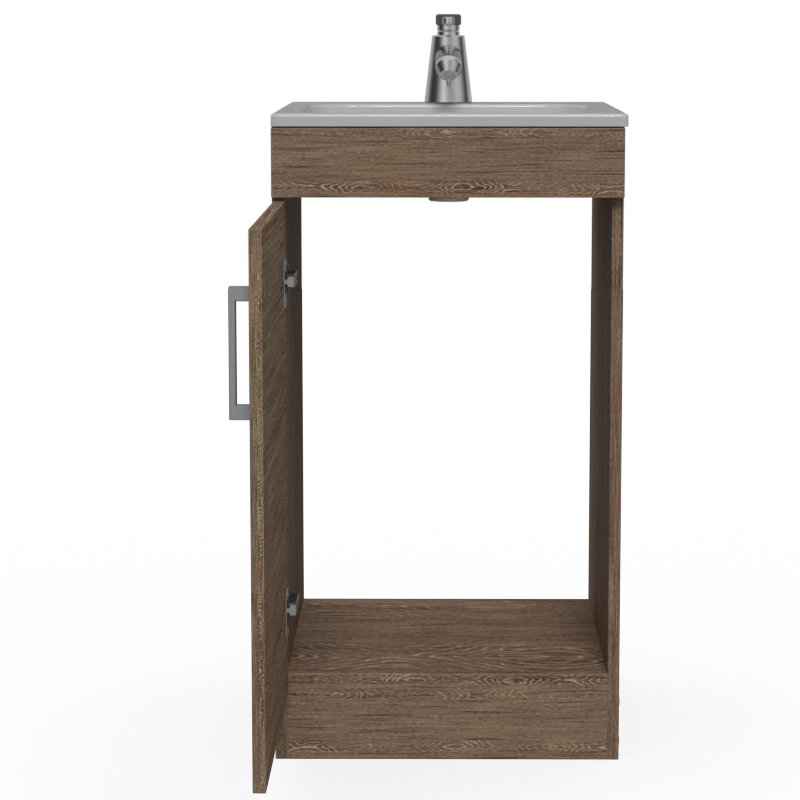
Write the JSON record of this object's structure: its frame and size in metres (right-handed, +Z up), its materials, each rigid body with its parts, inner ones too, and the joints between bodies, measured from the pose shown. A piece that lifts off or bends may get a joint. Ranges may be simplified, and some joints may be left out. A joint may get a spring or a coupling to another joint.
{
  "type": "bathroom vanity cabinet",
  "caption": "Compact bathroom vanity: open-backed wood-grain cabinet with a left-hung door on concealed hinges, a drop-on ceramic basin, a pillar tap and a basin waste.",
  "frame": {"origin": "on the floor, midway between the side panels, at the plane of their front edges", "axes": "+Z up, +X to the right seen from the front, +Y from the front to the wall"},
  "size_m": [0.483, 0.9017, 0.9821],
  "materials": {
    "wood_laminate": "matt wood-grain laminate",
    "cap_plastic": "matt brown",
    "block_plastic": "matt pale grey",
    "dowel_wood": "plain beech",
    "fastener_steel": "zinc plated",
    "basin_glaze": "gloss white",
    "waste_metal": "polished",
    "waste_plastic": "matt pale grey",
    "seal_rubber": "matt black",
    "tap_chrome": "polished",
    "tap_cap_grey": "satin dark grey",
    "aerator_plastic": "matt grey",
    "tap_brass": "machined",
    "handle_satin": "satin",
    "hinge_steel": "nickel plated"
  },
  "bodies": {
    "cabinet": {"left_side_panel": "wood_laminate", "right_side_panel": "wood_laminate", "base_shelf": "wood_laminate", "kick_board": "wood_laminate", "front_apron": "wood_laminate", "rear_rail": "wood_laminate", "panel_screws": "fastener_steel", "screw_caps": "cap_plastic", "apron_dowels": "dowel_wood", "apron_corner_blocks": "block_plastic", "corner_block_screws": "fastener_steel", "basin": "basin_glaze", "waste_body": "waste_metal", "waste_gasket": "seal_rubber", "waste_nut": "waste_plastic", "tap_body": "tap_chrome", "tap_aerator": "aerator_plastic", "tap_seal": "aerator_plastic", "tap_tail": "tap_brass", "tail_washer": "seal_rubber", "tail_nut": "tap_brass", "tap_collar": "tap_chrome", "hinge_link_upper": "hinge_steel", "hinge_link_lower": "hinge_steel", "hinge_arm_upper": "hinge_steel", "hinge_arm_lower": "hinge_steel", "hinge_plate_upper": "hinge_steel", "hinge_plate_lower": "hinge_steel", "hinge_rivets": "hinge_steel", "hinge_plate_screws": "fastener_steel", "hinge_arm_screws": "fastener_steel"},
    "door": {"door_panel": "wood_laminate", "door_handle": "handle_satin", "handle_screws": "fastener_steel", "hinge_cup_upper": "hinge_steel", "hinge_cup_lower": "hinge_steel", "hinge_pins": "hinge_steel", "hinge_cup_screws": "fastener_steel"},
    "tap_handle": {"tap_skirt": "tap_chrome", "tap_cap": "tap_cap_grey", "tap_lever": "tap_chrome", "cap_screw": "fastener_steel", "tap_spindle": "tap_chrome"}
  },
  "joints": [
    {"name": "door_hinge", "type": "hinge", "parent": "cabinet", "child": "door", "pos_m": [-0.218, -0.01124, 0.417], "axis": [0, 0, 1], "range_deg": [-15, 90]},
    {"name": "tap_turn", "type": "hinge", "parent": "cabinet", "child": "tap_handle", "pos_m": [0.002, 0.389, 0.966], "axis": [0, 0, 1], "range_deg": [0, 90]}
  ]
}
